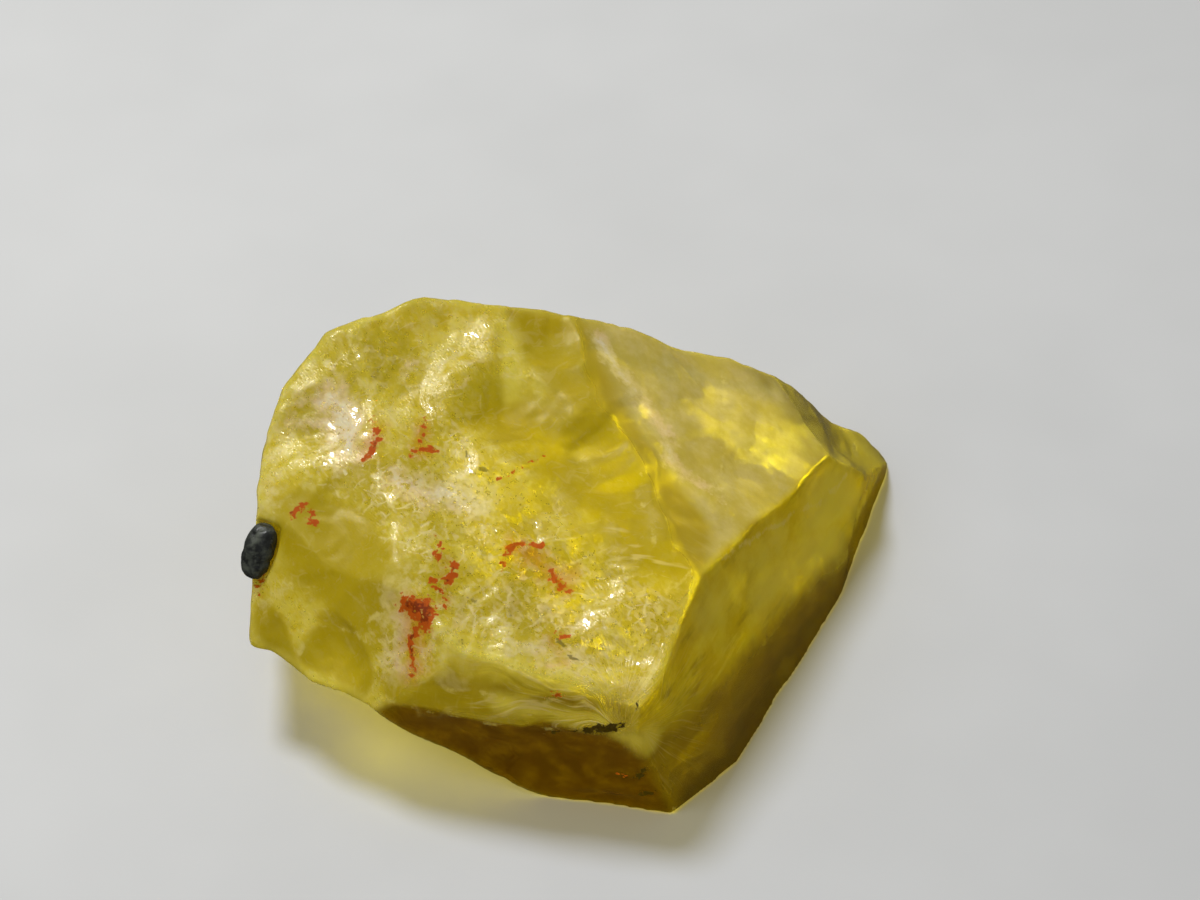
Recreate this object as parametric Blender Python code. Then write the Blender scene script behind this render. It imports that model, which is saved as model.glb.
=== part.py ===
"""A broken rhodizite crystal with a small black mineral grain set in its left side.

It rests on a flat, foot-shaped base. The right side keeps smooth crystal faces that
meet at a blunt tip in front. The top and the left are a rough, shell-like break that
overhangs the ground. The long axis runs along X, the front is -Y and up is +Z, with
the origin on the resting face under the middle of the piece.

Lengths are in millimetres up to the last step, which brings the meshes to metres.
"""

import math

import bmesh
import bpy
from mathutils import Matrix, Vector, noise

METRE = 0.001

# The uncut block and the fineness of the broken surface.
BLOCK_SIZE = 40.0
GRAIN_OF_STONE = 0.14
CRYSTAL_TRIANGLES = 8600
BASE_ALLOWANCE = 0.4

# Each face: name, azimuth and elevation of its outward normal in degrees, distance
# from the origin, and height of the relief on it. Crystal faces are nearly flat.
FACES = (
    ("front", -100.5, -8.0, 7.20, 0.04),
    ("prism_right", -25.5, 18.5, 6.22, 0.03),
    ("prism_front", -42.0, 9.0, 7.15, 0.03),
    ("break_mid", -75.0, 70.5, 6.65, 0.16),
    ("break_left", -118.0, 65.5, 8.00, 0.15),
    ("top_right", -8.5, 59.5, 6.60, 0.08),
    ("back_right", 15.0, 39.0, 8.25, 0.10),
    ("right_end", -16.5, 5.0, 7.05, 0.06),
    ("back", 85.5, 26.0, 7.00, 0.16),
    ("back_low", 96.0, -10.0, 6.55, 0.16),
    ("left_back", 120.5, 38.0, 9.70, 0.14),
    ("left_back_low", 141.0, -4.0, 9.00, 0.14),
    ("left_up", 151.5, 26.5, 10.30, 0.14),
    ("left_high", 166.0, 14.0, 9.75, 0.12),
    ("left", 178.0, 3.0, 9.05, 0.08),
    ("front_bevel", -100.0, 22.0, 8.50, 0.08),
    ("left_shoulder", -125.0, 32.0, 8.85, 0.10),
    ("corner_low", -106.0, 9.0, 8.30, 0.08),
)

# The two faces of the wedge that is missing below the left side.
UNDERCUT = (
    ("foot_left", -165.0, -57.0, 1.55, 0.08),
    ("underside", -126.0, -74.0, -0.25, 0.14),
)

# Shell-shaped hollows: face, nearest point, half width, half length, turn, depth.
HOLLOWS = (
    ("break_left", (-6.4, -3.4, 6.0), 1.5, 2.0, 20.0, 0.26),
    ("break_left", (-6.6, 0.4, 7.4), 1.2, 1.7, -30.0, 0.16),
    ("break_mid", (-0.7, 3.3, 8.1), 1.2, 1.5, 10.0, 0.38),
    ("break_mid", (-1.8, 0.2, 7.2), 1.4, 1.8, 70.0, 0.22),
    ("break_mid", (-3.6, 2.6, 8.0), 1.3, 1.0, 0.0, 0.16),
    ("break_mid", (0.9, -1.0, 6.5), 1.5, 2.2, 35.0, 0.18),
    ("break_mid", (-0.4, -4.6, 5.3), 1.3, 2.3, -70.0, 0.20),
    ("break_mid", (-2.8, -5.0, 5.4), 1.1, 1.5, 15.0, 0.20),
    ("break_mid", (0.9, -6.5, 4.6), 0.7, 1.5, 80.0, 0.16),
    ("break_mid", (-4.0, -2.0, 6.6), 0.9, 1.2, 50.0, 0.14),
    ("front_bevel", (-3.4, -7.1, 3.9), 0.6, 1.9, 92.0, 0.16),
    ("front_bevel", (-0.2, -7.7, 3.8), 0.5, 1.6, 96.0, 0.10),
    ("left_shoulder", (-6.5, -5.3, 3.8), 0.8, 1.1, 60.0, 0.20),
    ("left_shoulder", (-8.3, -4.5, 3.2), 0.6, 0.8, 0.0, 0.12),
    ("top_right", (4.7, 0.6, 5.0), 1.6, 2.6, 20.0, 0.12),
    ("top_right", (3.6, 3.6, 5.9), 0.9, 1.6, -60.0, 0.14),
    ("back_right", (7.9, 4.6, 2.2), 0.9, 1.4, 10.0, 0.14),
    ("front", (1.7, -8.1, 3.1), 0.4, 0.8, 75.0, 0.08),
    ("front", (0.9, -7.7, 0.3), 0.4, 1.3, 88.0, 0.10),
    ("back", (2.5, 6.0, 2.6), 2.0, 3.0, 75.0, 0.40),
    ("back", (-3.2, 5.6, 4.4), 2.2, 2.6, 30.0, 0.45),
    ("back", (6.6, 6.4, 1.6), 1.2, 1.8, 60.0, 0.25),
    ("left_back", (-6.8, 5.2, 4.0), 1.6, 2.2, 40.0, 0.34),
    ("left_high", (-9.0, 3.0, 2.6), 1.4, 2.0, 10.0, 0.30),
    ("underside", (-5.6, -2.6, 1.6), 1.8, 2.4, 30.0, 0.30),
)
HOLLOW_SEGMENTS = 64

# Relief of the break: wavelengths of its hills, and the ledges that step across it.
HILLS = 2.4
LUMPS = 1.0
LEDGES = 1.7
LEDGE_STEPS = 3.0
EDGE_BLEND = 0.16

# The black grain, a stubby three-sided prism with rounded flanks.
GRAIN_PLACE = (-8.72, -2.75, 5.05)
GRAIN_AXIS = (-0.30, -0.34, -0.89)
GRAIN_RADIUS = 0.52
GRAIN_LENGTH = 1.60
GRAIN_SIDES = 18
GRAIN_RINGS = 7
POCKET_GAP = 0.07


def clear_scene():
    """Remove whatever the file held before."""
    for old in list(bpy.data.objects):
        bpy.data.objects.remove(old, do_unlink=True)


def direction(azimuth, elevation):
    """Unit vector of a bearing around Z and a height above the horizon, in degrees."""
    turn = math.radians(azimuth)
    lift = math.radians(elevation)
    return Vector((math.cos(lift) * math.cos(turn), math.cos(lift) * math.sin(turn), math.sin(lift)))


NORMALS = {name: direction(turn, lift) for name, turn, lift, _, _ in FACES + UNDERCUT}
DISTANCES = {name: distance for name, _, _, distance, _ in FACES + UNDERCUT}
RELIEFS = {name: relief for name, _, _, _, relief in FACES + UNDERCUT}


def cut_flat(mesh, normal, distance):
    """Cut away what lies outside one plane and close the cut with a face."""
    everything = mesh.verts[:] + mesh.edges[:] + mesh.faces[:]
    done = bmesh.ops.bisect_plane(
        mesh, geom=everything, plane_co=normal * distance, plane_no=normal, clear_outer=True
    )
    rim = [item for item in done["geom_cut"] if isinstance(item, bmesh.types.BMEdge)]
    bmesh.ops.edgeloop_fill(mesh, edges=rim)


def add_object(name, mesh, helper=False):
    """Turn a bmesh into an object with its faces pointing out."""
    bmesh.ops.recalc_face_normals(mesh, faces=mesh.faces)
    data = bpy.data.meshes.new(name)
    mesh.to_mesh(data)
    mesh.free()
    obj = bpy.data.objects.new(name, data)
    bpy.context.scene.collection.objects.link(obj)
    if helper:
        obj.hide_render = True
        obj.display_type = "WIRE"
    return obj


def apply_modifiers(obj):
    """Replace the object's mesh by what its modifiers make of it."""
    graph = bpy.context.evaluated_depsgraph_get()
    finished = bpy.data.meshes.new_from_object(obj.evaluated_get(graph))
    obj.modifiers.clear()
    obj.data = finished


def subtract(obj, cutter):
    """Boolean difference, after which the cutter is removed."""
    cut = obj.modifiers.new("cut", "BOOLEAN")
    cut.operation = "DIFFERENCE"
    cut.solver = "EXACT"
    cut.object = cutter
    apply_modifiers(obj)
    bpy.data.objects.remove(cutter, do_unlink=True)


def faceted_block():
    """The crystal as flat faces only, a little too deep at the base."""
    mesh = bmesh.new()
    bmesh.ops.create_cube(mesh, size=BLOCK_SIZE)
    for name in [face[0] for face in FACES]:
        cut_flat(mesh, NORMALS[name], DISTANCES[name])
    cut_flat(mesh, Vector((0.0, 0.0, -1.0)), BASE_ALLOWANCE)
    return add_object("crystal", mesh)


def missing_wedge():
    """The empty space below the overhang, outside both of its faces."""
    mesh = bmesh.new()
    bmesh.ops.create_cube(mesh, size=BLOCK_SIZE)
    for name in [face[0] for face in UNDERCUT]:
        cut_flat(mesh, -NORMALS[name], -DISTANCES[name])
    return add_object("missing_wedge", mesh, helper=True)


def hollow_cutter(face, near, width, length, turn, depth):
    """A large ball, drawn out along the face, that dips into it by the given depth."""
    normal = NORMALS[face]
    point = Vector(near)
    point += normal * (DISTANCES[face] - normal.dot(point))
    radius = (width * width + depth * depth) / (2.0 * depth)
    mesh = bmesh.new()
    bmesh.ops.create_uvsphere(
        mesh, u_segments=HOLLOW_SEGMENTS, v_segments=HOLLOW_SEGMENTS // 2, radius=radius
    )
    stretch = Matrix.Diagonal((1.0, length / width, 1.0, 1.0))
    spin = Matrix.Rotation(math.radians(turn), 4, "Z")
    lean = normal.to_track_quat("Z", "Y").to_matrix().to_4x4()
    place = Matrix.Translation(point + normal * (radius - depth))
    bmesh.ops.transform(mesh, matrix=place @ lean @ spin @ stretch, verts=mesh.verts)
    return add_object("hollow", mesh, helper=True)


def remesh(obj):
    """Give the whole surface small even faces, which also rounds its edges slightly."""
    fine = obj.modifiers.new("fine", "REMESH")
    fine.mode = "VOXEL"
    fine.voxel_size = GRAIN_OF_STONE
    fine.adaptivity = 0.0
    apply_modifiers(obj)


def relief_height(point):
    """How high the relief is allowed to be here, blended across the edges."""
    total = 0.0
    height = 0.0
    for name, normal in NORMALS.items():
        weight = math.exp(-abs(normal.dot(point) - DISTANCES[name]) / EDGE_BLEND)
        total += weight
        height += weight * RELIEFS[name]
    return height / total


def ledge(value):
    """Turn a smooth slope into treads with steep risers."""
    scaled = value * LEDGE_STEPS
    tread = math.floor(scaled)
    riser = min(1.0, max(0.0, (scaled - tread - 0.75) * 4.0))
    return (tread + riser) / LEDGE_STEPS


def broken_shape(point):
    """Height of the fracture surface at a point, about -1 to 1."""
    hills = noise.noise(point / HILLS)
    lumps = 0.45 * noise.noise(point / LUMPS + Vector((7.0, 3.0, 1.0)))
    ledges = 1.1 * ledge(noise.noise(point / LEDGES + Vector((2.0, 9.0, 4.0))))
    return hills + lumps + ledges


def roughen(obj):
    """Move the surface in and out along its normals by the relief of the break."""
    points = [vertex.co.copy() for vertex in obj.data.vertices]
    normals = [vertex.normal.copy() for vertex in obj.data.vertices]
    for vertex, point, normal in zip(obj.data.vertices, points, normals):
        vertex.co = point + normal * relief_height(point) * broken_shape(point)


def thin_out(obj, triangles):
    """Collapse edges where the surface is flat until few enough triangles are left."""
    obj.data.calc_loop_triangles()
    thin = obj.modifiers.new("thin", "DECIMATE")
    thin.ratio = triangles / len(obj.data.loop_triangles)
    apply_modifiers(obj)


def cut_base(obj):
    """The flat face that the crystal rests on."""
    mesh = bmesh.new()
    mesh.from_mesh(obj.data)
    everything = mesh.verts[:] + mesh.edges[:] + mesh.faces[:]
    down = Vector((0.0, 0.0, -1.0))
    bmesh.ops.bisect_plane(mesh, geom=everything, plane_co=(0.0, 0.0, 0.0), plane_no=down, clear_outer=True)
    bmesh.ops.holes_fill(mesh, edges=[edge for edge in mesh.edges if edge.is_boundary])
    bmesh.ops.triangulate(mesh, faces=mesh.faces)
    mesh.to_mesh(obj.data)
    mesh.free()


def grain_outline(angle, grow):
    """Radius of the grain around its axis: three rounded flanks with fine grooves."""
    flanks = 0.86 + 0.11 * math.cos(3.0 * angle)
    grooves = 0.02 * math.cos(9.0 * angle + 1.0)
    return GRAIN_RADIUS * (flanks + grooves) + grow


def grain_taper(along):
    """Width along the grain, from broken end (0) to worn end (1)."""
    return 1.0 - 0.30 * along**3 - 0.22 * (1.0 - along) ** 4


def grain_mesh(grow):
    """The grain as stacked rings, optionally larger all round by a gap."""
    mesh = bmesh.new()
    rings = []
    for step in range(GRAIN_RINGS):
        along = step / (GRAIN_RINGS - 1)
        height = (along - 0.5) * (GRAIN_LENGTH + 2.0 * grow)
        ring = []
        for side in range(GRAIN_SIDES):
            angle = math.tau * side / GRAIN_SIDES
            radius = grain_outline(angle, grow) * grain_taper(along)
            tilt = 0.12 * radius * math.cos(angle) * (1.0 if along > 0.5 else -1.0)
            ring.append(mesh.verts.new((radius * math.cos(angle), radius * math.sin(angle), height + tilt)))
        rings.append(ring)
    for lower, upper in zip(rings, rings[1:]):
        for side in range(GRAIN_SIDES):
            following = (side + 1) % GRAIN_SIDES
            mesh.faces.new((lower[side], lower[following], upper[following], upper[side]))
    mesh.faces.new(rings[0][::-1])
    mesh.faces.new(rings[-1])
    lean = Vector(GRAIN_AXIS).normalized().to_track_quat("Z", "Y").to_matrix().to_4x4()
    bmesh.ops.transform(mesh, matrix=Matrix.Translation(GRAIN_PLACE) @ lean, verts=mesh.verts)
    bmesh.ops.triangulate(mesh, faces=mesh.faces)
    return mesh


def middle_of(obj):
    """The point of the resting plane below the middle of a piece's box."""
    corners = [Vector(corner) for corner in obj.bound_box]
    low = Vector([min(corner[axis] for corner in corners) for axis in range(3)])
    high = Vector([max(corner[axis] for corner in corners) for axis in range(3)])
    return Vector(((low.x + high.x) / 2.0, (low.y + high.y) / 2.0, low.z))


def to_real_place(obj, middle):
    """Move a finished piece over the origin and bring it to metres."""
    obj.data.transform(Matrix.Scale(METRE, 4) @ Matrix.Translation(-middle))


def paint(obj, name, color, roughness):
    """Give the object its own plain material."""
    material = bpy.data.materials.new(name)
    material.use_nodes = True
    shader = material.node_tree.nodes["Principled BSDF"]
    shader.inputs["Base Color"].default_value = (*color, 1.0)
    shader.inputs["Roughness"].default_value = roughness
    shader.inputs["Metallic"].default_value = 0.0
    material.diffuse_color = (*color, 1.0)
    obj.data.materials.clear()
    obj.data.materials.append(material)


def build_crystal():
    """Cut, hollow, roughen and thin the crystal, then flatten the base."""
    crystal = faceted_block()
    subtract(crystal, missing_wedge())
    for hollow in HOLLOWS:
        subtract(crystal, hollow_cutter(*hollow))
    remesh(crystal)
    roughen(crystal)
    thin_out(crystal, CRYSTAL_TRIANGLES)
    cut_base(crystal)
    subtract(crystal, add_object("pocket", grain_mesh(POCKET_GAP), helper=True))
    paint(crystal, "rhodizite", (0.42, 0.34, 0.04), 0.25)
    return crystal


def build_grain():
    """The black grain that sits in the pocket."""
    grain = add_object("black_grain", grain_mesh(0.0))
    paint(grain, "black_mineral", (0.02, 0.022, 0.018), 0.55)
    return grain


def main():
    clear_scene()
    crystal = build_crystal()
    grain = build_grain()
    middle = middle_of(crystal)
    to_real_place(crystal, middle)
    to_real_place(grain, middle)


main()
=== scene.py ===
# %% [markdown]
# # A rhodizite crystal with a black grain in its side
# The crystal is one broken, see-through, greenish-yellow stone about 18 mm long. Its right
# side keeps smooth crystal faces, and its top and left are a rough, shell-like break.
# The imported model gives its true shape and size, and this script gives it its surface:
# first the fine relief, then the marks that lie on it, then the materials and the light.

# %% Load the frame
import math

import bpy
import numpy as np
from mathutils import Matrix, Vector, noise


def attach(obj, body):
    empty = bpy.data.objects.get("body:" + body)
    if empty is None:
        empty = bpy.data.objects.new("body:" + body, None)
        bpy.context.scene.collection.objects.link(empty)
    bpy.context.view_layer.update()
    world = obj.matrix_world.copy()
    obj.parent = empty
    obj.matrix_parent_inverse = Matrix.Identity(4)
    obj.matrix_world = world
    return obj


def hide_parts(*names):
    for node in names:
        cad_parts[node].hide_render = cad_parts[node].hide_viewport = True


SEED = 11
noise.seed_set(SEED)
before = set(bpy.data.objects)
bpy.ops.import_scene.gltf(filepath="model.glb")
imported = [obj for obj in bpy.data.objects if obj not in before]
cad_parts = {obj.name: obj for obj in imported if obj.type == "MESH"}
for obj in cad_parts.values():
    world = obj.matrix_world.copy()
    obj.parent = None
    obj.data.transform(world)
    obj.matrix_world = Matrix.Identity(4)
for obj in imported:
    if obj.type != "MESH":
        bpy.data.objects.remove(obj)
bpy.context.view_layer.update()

# %% [markdown]
# ## The camera first
# A close-up lens looks down on the stone from the front. All lengths here are written in
# millimetres, because the stone is so small, and one value brings them to metres.

# %% Camera
MM = 0.001
CAMERA_PLACE = Vector((0.55, -88.72, 86.58))
CAMERA_AIM = Vector((0.55, 1.95, 4.95))
LENS = 129.9
SENSOR_WIDTH = 36.0


def add_camera():
    """A long lens, about 12 cm from the stone."""
    data = bpy.data.cameras.new("camera")
    data.lens = LENS
    data.sensor_width = SENSOR_WIDTH
    data.clip_start = 5.0 * MM
    data.clip_end = 10.0
    camera = bpy.data.objects.new("camera", data)
    bpy.context.scene.collection.objects.link(camera)
    camera.location = CAMERA_PLACE * MM
    camera.rotation_euler = (CAMERA_AIM - CAMERA_PLACE).to_track_quat("-Z", "Y").to_euler()
    bpy.context.scene.camera = camera


add_camera()
print("camera at", [round(value, 1) for value in CAMERA_PLACE], "mm")


# %% [markdown]
# ## Helpers for objects
# A skin is made by three modifiers in a row: a voxel remesh gives even faces, smoothing
# takes the steps out of them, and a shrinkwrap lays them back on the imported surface.

# %% Helpers for objects
MERGE_DISTANCE = 1e-7
FIRST_ROUNDS = 6


def select_only(obj):
    """Deselect everything, then select one object and make it active."""
    bpy.ops.object.select_all(action="DESELECT")
    obj.select_set(True)
    bpy.context.view_layer.objects.active = obj


def rescale(obj, factor):
    """Scale a mesh about the origin and apply it."""
    select_only(obj)
    obj.scale = (factor, factor, factor)
    bpy.ops.object.transform_apply(location=False, rotation=False, scale=True)


def merged_copy(node, name):
    """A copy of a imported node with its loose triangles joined, in millimetres."""
    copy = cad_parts[node].copy()
    copy.data = copy.data.copy()
    copy.name = name
    copy.parent = None
    for key in list(copy.keys()):
        del copy[key]
    bpy.context.scene.collection.objects.link(copy)
    select_only(copy)
    bpy.ops.object.mode_set(mode="EDIT")
    bpy.ops.mesh.select_all(action="SELECT")
    bpy.ops.mesh.remove_doubles(threshold=MERGE_DISTANCE)
    bpy.ops.object.mode_set(mode="OBJECT")
    rescale(copy, 1.0 / MM)
    return copy


def soften(obj, rounds):
    """Smooth away the small steps that the voxel grid leaves."""
    smooth = obj.modifiers.new("soften", "SMOOTH")
    smooth.factor = 0.5
    smooth.iterations = rounds


def fine_skin(node, name, voxel, last_rounds):
    """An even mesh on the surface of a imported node, fine enough for relief."""
    template = merged_copy(node, name + "_template")
    skin = merged_copy(node, name)
    remesh = skin.modifiers.new("even grid", "REMESH")
    remesh.mode = "VOXEL"
    remesh.voxel_size = voxel
    soften(skin, FIRST_ROUNDS)
    settle = skin.modifiers.new("settle", "SHRINKWRAP")
    settle.target = template
    settle.wrap_method = "NEAREST_SURFACEPOINT"
    soften(skin, last_rounds)
    select_only(skin)
    for modifier in list(skin.modifiers):
        bpy.ops.object.modifier_apply(modifier=modifier.name)
    bpy.ops.object.shade_smooth()
    bpy.data.objects.remove(template)
    return skin


def count_triangles(obj):
    """How many triangles the mesh has."""
    obj.data.calc_loop_triangles()
    return len(obj.data.loop_triangles)


# %% [markdown]
# ## A finer skin for the crystal
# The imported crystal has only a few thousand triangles, enough for its outline but not for
# the chips and ripples of a fresh break. So a copy of it is remeshed with a fine voxel
# grid and smoothed a little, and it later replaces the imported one.

# %% Fine skin
SKIN_VOXEL = 0.096
SKIN_ROUNDS = 2

crystal = fine_skin("crystal", "crystal_skin", SKIN_VOXEL, SKIN_ROUNDS)
print("fine skin:", len(crystal.data.vertices), "points,", count_triangles(crystal), "triangles")

# %% [markdown]
# ## Which face is which
# A point belongs to a crystal face when it lies close to that face's plane and looks the
# same way. The smooth faces stay almost flat; everything else is broken surface. Each face
# is given by the bearing and the rise of its outward direction and by its distance.

# %% Faces
SMOOTH_FACES = {
    "front": (-100.5, -8.0, 6.80),
    "prism_right": (-25.5, 18.5, 5.95),
    "prism_front": (-42.0, 9.0, 6.80),
    "right_end": (-16.5, 5.0, 6.84),
    "base": (0.0, -90.0, 0.0),
    "top_right": (-8.5, 59.5, 6.52),
    "front_bevel": (-100.0, 22.0, 8.13),
    "back_right": (15.0, 39.0, 8.27),
}
FACE_BLUR = 8
RIM_GAIN = 1.6


def direction(azimuth, elevation):
    """Unit vector of a bearing around Z and a height above the horizon, in degrees."""
    turn = math.radians(azimuth)
    lift = math.radians(elevation)
    return np.array((math.cos(lift) * math.cos(turn), math.cos(lift) * math.sin(turn), math.sin(lift)))


def ramp(value, low, high):
    """0 below low, 1 above high and smooth between."""
    part = np.clip((value - low) / (high - low), 0.0, 1.0)
    return part * part * (3.0 - 2.0 * part)


def read_vectors(mesh, what):
    """Vertex places or normals as an array."""
    values = np.empty(len(mesh.vertices) * 3, np.float32)
    mesh.vertices.foreach_get(what, values)
    return values.reshape(-1, 3).astype(float)


def on_face(name):
    """1 where the surface is that face, 0 elsewhere."""
    azimuth, elevation, distance = SMOOTH_FACES[name]
    outward = direction(azimuth, elevation)
    near = 1.0 - ramp(np.abs(points @ outward - distance), 0.25, 0.55)
    facing = ramp(normals @ outward, 0.86, 0.97)
    return near * facing


def on_any(*names):
    """1 on all of these faces and, as each fades at its rim, on the edges between them."""
    return (RIM_GAIN * sum(faces[name] for name in names)).clip(0.0, 1.0)


def next_door(mesh):
    """The two ends of every edge, and how many edges meet at each point."""
    ends = np.empty(len(mesh.edges) * 2, np.int32)
    mesh.edges.foreach_get("vertices", ends)
    return ends[0::2], ends[1::2], np.bincount(ends, minlength=len(mesh.vertices)).clip(1)


def spread(values, rounds):
    """Blur a value over the surface: each round takes half of it from the points next door."""
    for _ in range(rounds):
        around = np.bincount(first_end, values[second_end], len(values))
        around += np.bincount(second_end, values[first_end], len(values))
        values = 0.5 * values + 0.5 * around / edge_count
    return values


points = read_vectors(crystal.data, "co")
normals = read_vectors(crystal.data, "normal")
first_end, second_end, edge_count = next_door(crystal.data)
faces = {name: spread(on_face(name), FACE_BLUR) for name in SMOOTH_FACES}
for name, weight in faces.items():
    print(f"{name}: {weight.mean():.3f} of the surface")

# %% [markdown]
# ## Marks painted by place
# Every mark on the stone is written down as its strength, its width and a short
# path of points, in millimetres. A mark is kept as a field that falls off with the distance
# from its path, and the material later cuts a ragged edge out of it with noise, finer than
# the mesh itself. The surface is shaken a little first, so that no path looks ruled.

# %% Marks
WANDER = 0.16
WANDER_LENGTH = 0.7


def noise_vectors(places, wavelength, shift=0.0):
    """A smooth random vector for each point."""
    offset = Vector((shift, shift, shift))
    return np.array([noise.noise_vector(Vector(place) / wavelength + offset) for place in places])


def noise_values(places, wavelength, shift=0.0):
    """A smooth random number, about -1 to 1, for each point."""
    offset = Vector((shift, shift, shift))
    return np.array([noise.noise(Vector(place) / wavelength + offset) for place in places])


wandered = points + WANDER * noise_vectors(points, WANDER_LENGTH)


def distance_to_path(path):
    """Distance from each point of the stone to the nearest stretch of a path."""
    best = np.full(len(points), np.inf)
    stops = [np.array(stop) for stop in path]
    if len(stops) == 1:
        stops = stops * 2
    for start, end in zip(stops, stops[1:]):
        along = end - start
        length = max(float(along @ along), 1e-9)
        share = np.clip((wandered - start) @ along / length, 0.0, 1.0)
        nearest = start + share[:, None] * along
        best = np.minimum(best, np.linalg.norm(wandered - nearest, axis=1))
    return best


def paint(marks):
    """Field of a set of marks, each (strength, width, path): half strength at the width."""
    total = np.zeros(len(points))
    for strength, width, path in marks:
        field = np.clip(1.0 - 0.5 * distance_to_path(path) / width, 0.0, 1.0)
        total = np.maximum(total, strength * field)
    return total


# %% Calm windows and milky veils
# A window is a clear, calm patch of the break. A veil is a cream-coloured cloud in it.
BEVEL_WINDOW = (1.0, 0.42, ((-4.9, -6.15, 3.6), (-3.75, -6.6, 3.6), (-2.7, -6.9, 3.55), (-1.6, -7.15, 3.6)))
WINDOW_MARKS = (
    (1.0, 1.30, ((-7.4, -2.5, 6.0), (-6.5, -3.3, 5.6), (-5.9, -4.0, 5.4))),
    (1.0, 0.60, ((-7.1, -4.5, 3.5), (-6.3, -5.0, 3.8), (-6.0, -5.4, 3.2))),
    (1.0, 0.50, ((-8.6, -3.5, 3.5), (-8.2, -4.1, 3.1), (-7.9, -4.5, 2.6))),
    (1.0, 1.00, ((-0.8, 3.7, 7.8), (-0.3, 2.4, 7.6), (0.1, 1.3, 7.3))),
    (1.0, 0.95, ((0.1, 1.3, 7.3), (0.8, 0.3, 6.8), (1.6, -0.8, 6.3), (2.7, -1.9, 5.8))),
    (0.8, 1.20, ((-1.9, 0.9, 7.1), (-0.2, 0.6, 6.9))),
    (0.75, 1.10, ((-0.5, -0.5, 6.7), (0.6, -1.6, 6.3), (1.7, -2.8, 5.8), (2.9, -3.3, 5.6))),
    BEVEL_WINDOW,
)
VEIL_MARKS = (
    (1.0, 0.70, ((-6.9, 1.2, 7.5), (-6.5, 0.4, 7.3), (-6.4, -0.3, 7.1))),
    (0.6, 0.90, ((-7.6, 1.6, 7.4), (-8.2, 0.2, 6.8), (-8.6, -1.2, 6.1))),
    (0.95, 0.55, ((-4.9, -1.4, 6.8), (-4.2, -1.6, 6.6), (-3.5, -1.6, 6.6), (-3.0, -2.0, 6.5))),
    (0.85, 0.50, ((-4.8, -4.4, 5.7), (-4.9, -5.9, 4.1))),
    (0.45, 0.80, ((-4.0, -5.7, 5.0), (-3.0, -4.4, 5.5), (-1.6, -4.6, 5.3), (0.3, -5.0, 5.1))),
    (0.75, 0.40, ((-1.9, -6.0, 4.95), (-1.1, -6.1, 4.9), (0.3, -6.0, 4.8))),
    (0.9, 0.34, ((0.45, 3.7, 7.6), (0.9, 3.0, 7.3), (1.3, 2.5, 7.05), (1.7, 2.1, 6.75), (2.0, 1.8, 6.5),
                 (2.3, 1.4, 6.3), (2.45, 0.9, 6.2), (2.5, 0.3, 6.1))),
    (0.7, 0.34, ((2.5, 0.3, 6.1), (3.1, -0.1, 5.7), (3.8, -0.15, 5.3))),
    (0.5, 1.00, ((-3.0, 2.6, 8.0), (-4.6, 1.9, 7.8))),
    (0.5, 0.45, ((-8.9, -3.1, 4.0), (-8.0, -4.3, 4.2), (-7.2, -5.0, 4.2))),
)

# %% Rust and cracks
# Rust sits in open cracks, with an orange halo around it. A crack line is pale.
RUST_MARKS = (
    (1.0, 0.24, ((-4.6, -4.95, 5.5), (-4.2, -5.05, 5.5), (-4.2, -5.3, 5.35))),
    (0.9, 0.11, ((-4.4, -5.3, 5.0), (-4.6, -5.45, 4.7), (-4.5, -5.65, 4.6), (-4.5, -6.1, 4.1))),
    (0.85, 0.08, ((-4.9, -5.25, 4.75), (-4.65, -5.45, 4.7))),
    (0.85, 0.08, ((-5.7, 0.45, 7.45), (-5.45, 0.0, 7.35), (-5.55, -0.4, 7.25), (-5.85, -0.8, 7.05))),
    (0.7, 0.09, ((-4.25, 0.45, 7.4), (-4.35, -0.1, 7.2))),
    (0.75, 0.11, ((-4.5, -0.55, 7.1), (-4.1, -0.4, 7.05))),
    (1.0, 0.11, ((-7.9, -2.0, 6.15), (-7.4, -1.9, 6.25), (-7.25, -2.3, 6.05))),
    (0.9, 0.14, ((-0.75, -3.8, 5.6), (-0.5, -4.05, 5.4), (-0.3, -4.2, 5.35))),
    (0.95, 0.10, ((-1.95, -3.3, 6.0), (-1.5, -3.05, 6.0), (-1.0, -3.0, 6.0))),
    (0.9, 0.10, ((-2.0, -3.75, 5.75), (-1.95, -3.45, 5.9))),
    (0.7, 0.08, ((-0.6, -5.4, 5.0), (-0.3, -5.6, 4.95))),
    (0.95, 0.11, ((-3.4, -3.8, 5.9), (-3.6, -4.15, 5.8))),
    (0.9, 0.09, ((-4.0, -4.3, 5.85), (-3.75, -4.6, 5.6), (-3.65, -4.9, 5.5))),
    (0.85, 0.10, ((-3.9, -3.1, 6.2), (-3.8, -3.4, 6.2), (-4.0, -3.8, 6.0))),
    (0.55, 0.08, ((-0.85, -7.1, 4.2), (-0.6, -7.1, 4.3))),
    (0.6, 0.10, ((1.0, -7.43, 1.6), (1.15, -7.45, 1.55))),
    (0.55, 0.05, ((-2.4, -1.4, 6.7), (-1.65, -0.85, 6.8), (-1.0, -0.4, 6.8))),
    (0.55, 0.14, ((-8.7, -2.3, 4.4), (-8.85, -3.0, 4.1))),
)
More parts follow.
